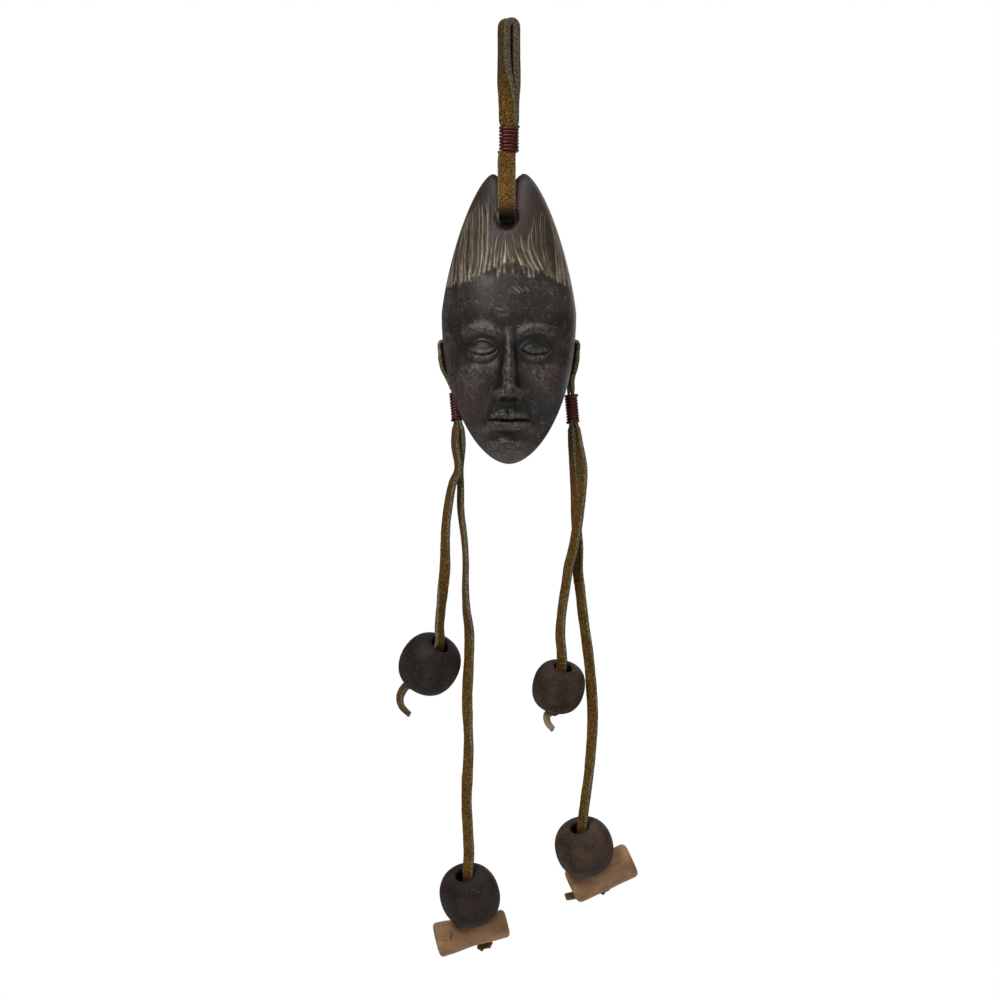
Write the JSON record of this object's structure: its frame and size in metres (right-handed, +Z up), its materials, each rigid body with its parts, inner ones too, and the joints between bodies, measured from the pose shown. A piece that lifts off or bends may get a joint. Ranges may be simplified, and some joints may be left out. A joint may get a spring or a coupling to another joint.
{
  "type": "hanging clay face mask",
  "caption": "Small hollow fired clay face mask with a tall peak of carved hair, hung on a leather strap, with a beaded suede lace at each side.",
  "frame": {"origin": "inside of the bend at the top of the hanging strap, where it rests on a hook", "axes": "+Z up along the hanging length, the face looks along -Y, +X to the viewer's right"},
  "size_m": [0.0838, 0.0597, 0.3253],
  "materials": {
    "mask_clay": "smoke-fired clay, burnished, dry-brushed grey, with cream slip in the carved hair",
    "strap_suede": "ochre suede strip with grey-brown cut edges",
    "lace_suede": "ochre suede lace with grey-brown cut edges",
    "wire": "dark red enamelled copper wire",
    "bead_clay": "smoke-fired dark clay, unglazed",
    "brown_bead_clay": "smoke-fired brown clay, unglazed",
    "terracotta": "pale tan terracotta, unglazed, with faint turning lines"
  },
  "bodies": {
    "root": {"clay_mask": "mask_clay", "hanging_strap": "strap_suede", "top_wire_wrap": "wire", "left_wire_wrap": "wire", "right_wire_wrap": "wire", "left_lace": "lace_suede", "right_lace": "lace_suede", "bead_left_short": "bead_clay", "bead_right_short": "bead_clay", "bead_left_long": "bead_clay", "bead_right_long": "brown_bead_clay", "toggle_left": "terracotta", "toggle_right": "terracotta"}
  },
  "joints": []
}
